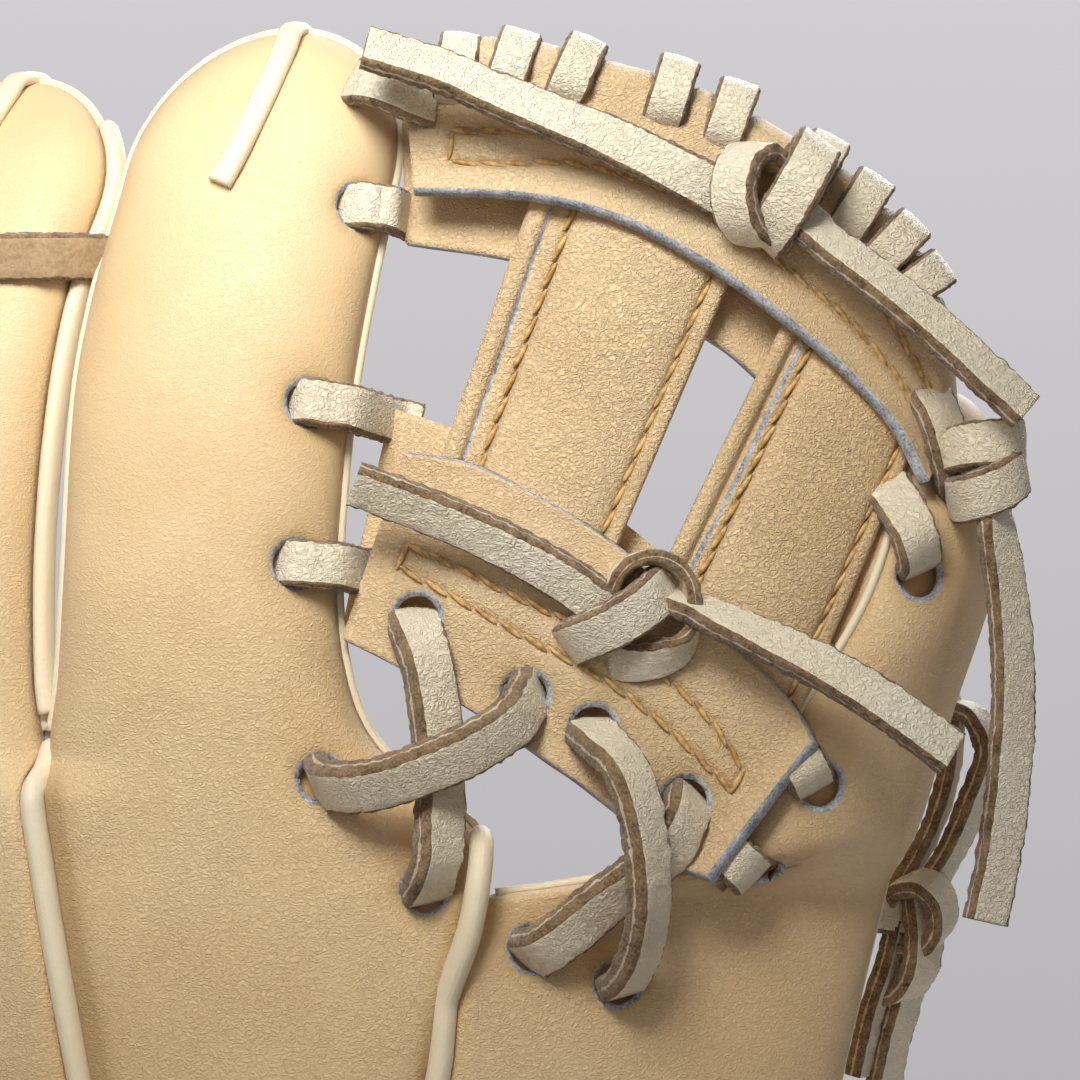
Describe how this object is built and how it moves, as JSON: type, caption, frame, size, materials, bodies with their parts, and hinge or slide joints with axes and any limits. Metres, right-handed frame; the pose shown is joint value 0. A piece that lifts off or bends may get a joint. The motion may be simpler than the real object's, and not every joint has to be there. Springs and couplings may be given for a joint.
{
  "type": "baseball glove",
  "caption": "Infield baseball glove for a right-handed thrower, with a laced H web, welted fingers, a hand opening and a wrist strap.",
  "frame": {"origin": "under the glove, at the centre of the footprint of the box around it, at the level of the heel", "axes": "+X towards the thumb, +Y towards the pocket and palm side, +Z towards the fingertips"},
  "size_m": [0.2672, 0.1326, 0.2663],
  "materials": {
    "shell_leather": "smooth, lightly grained tan",
    "rawhide_lace": "cream grain with brown cut edges",
    "welt_leather": "smooth cream",
    "lining_leather": "soft, matt tan",
    "felt_pad": "wool felt",
    "stiffener": "plain sheet",
    "fleece": "short pile",
    "binding_leather": "smooth tan"
  },
  "bodies": {
    "finger_side": {"crotch_lace_index": "rawhide_lace", "finger_lace": "rawhide_lace", "heel_lace_finger_side": "rawhide_lace", "index_back_panel": "shell_leather", "index_post": "shell_leather", "index_tip_welt": "welt_leather", "index_web_lace": "rawhide_lace", "lining_finger_side": "lining_leather", "low_bar_back_index_half": "shell_leather", "low_bar_front_index_half": "shell_leather", "lower_left_tail": "rawhide_lace", "middle_back_panel": "shell_leather", "middle_index_welt": "welt_leather", "middle_side_welt": "welt_leather", "middle_tip_welt": "welt_leather", "opening_binding_finger_side": "binding_leather", "palm_leather_finger_side": "shell_leather", "palm_pad": "felt_pad", "pinky_back_panel": "shell_leather", "pinky_loop": "shell_leather", "pinky_ring_welt": "welt_leather", "pinky_side_welt": "welt_leather", "pinky_stay": "stiffener", "pinky_tip_welt": "welt_leather", "ring_back_panel": "shell_leather", "ring_middle_welt": "welt_leather", "ring_side_welt": "welt_leather", "ring_tip_welt": "welt_leather", "strap_fleece": "fleece", "top_bar_back_index_half": "shell_leather", "top_bar_front_index_half": "shell_leather", "top_edge_lace_index": "rawhide_lace", "upper_left_tail": "rawhide_lace", "wrist_strap": "shell_leather"},
    "thumb_side": {"crotch_lace_thumb": "rawhide_lace", "heel_lace_thumb_side": "rawhide_lace", "index_thumb_welt": "welt_leather", "lining_thumb_side": "lining_leather", "low_bar_back_thumb_half": "shell_leather", "low_bar_front_thumb_half": "shell_leather", "lower_knot": "rawhide_lace", "lower_right_tail": "rawhide_lace", "opening_binding_thumb_side": "binding_leather", "palm_leather_thumb_side": "shell_leather", "thumb_back_panel": "shell_leather", "thumb_edge_lace": "rawhide_lace", "thumb_knot": "rawhide_lace", "thumb_loop": "shell_leather", "thumb_pad": "felt_pad", "thumb_post": "shell_leather", "thumb_stay": "stiffener", "thumb_web_lace": "rawhide_lace", "top_bar_back_thumb_half": "shell_leather", "top_bar_front_thumb_half": "shell_leather", "top_edge_lace_thumb": "rawhide_lace", "upper_knot": "rawhide_lace", "upper_right_tail": "rawhide_lace", "wrist_strap_end": "shell_leather"}
  },
  "joints": [
    {"name": "pocket_fold", "type": "hinge", "parent": "finger_side", "child": "thumb_side", "pos_m": [0.03913, -0.03025, 0.124], "axis": [0.3938, -0.0778, 0.9159], "range_deg": [0, 35], "stiffness_Nm_per_rad": 0.8}
  ]
}
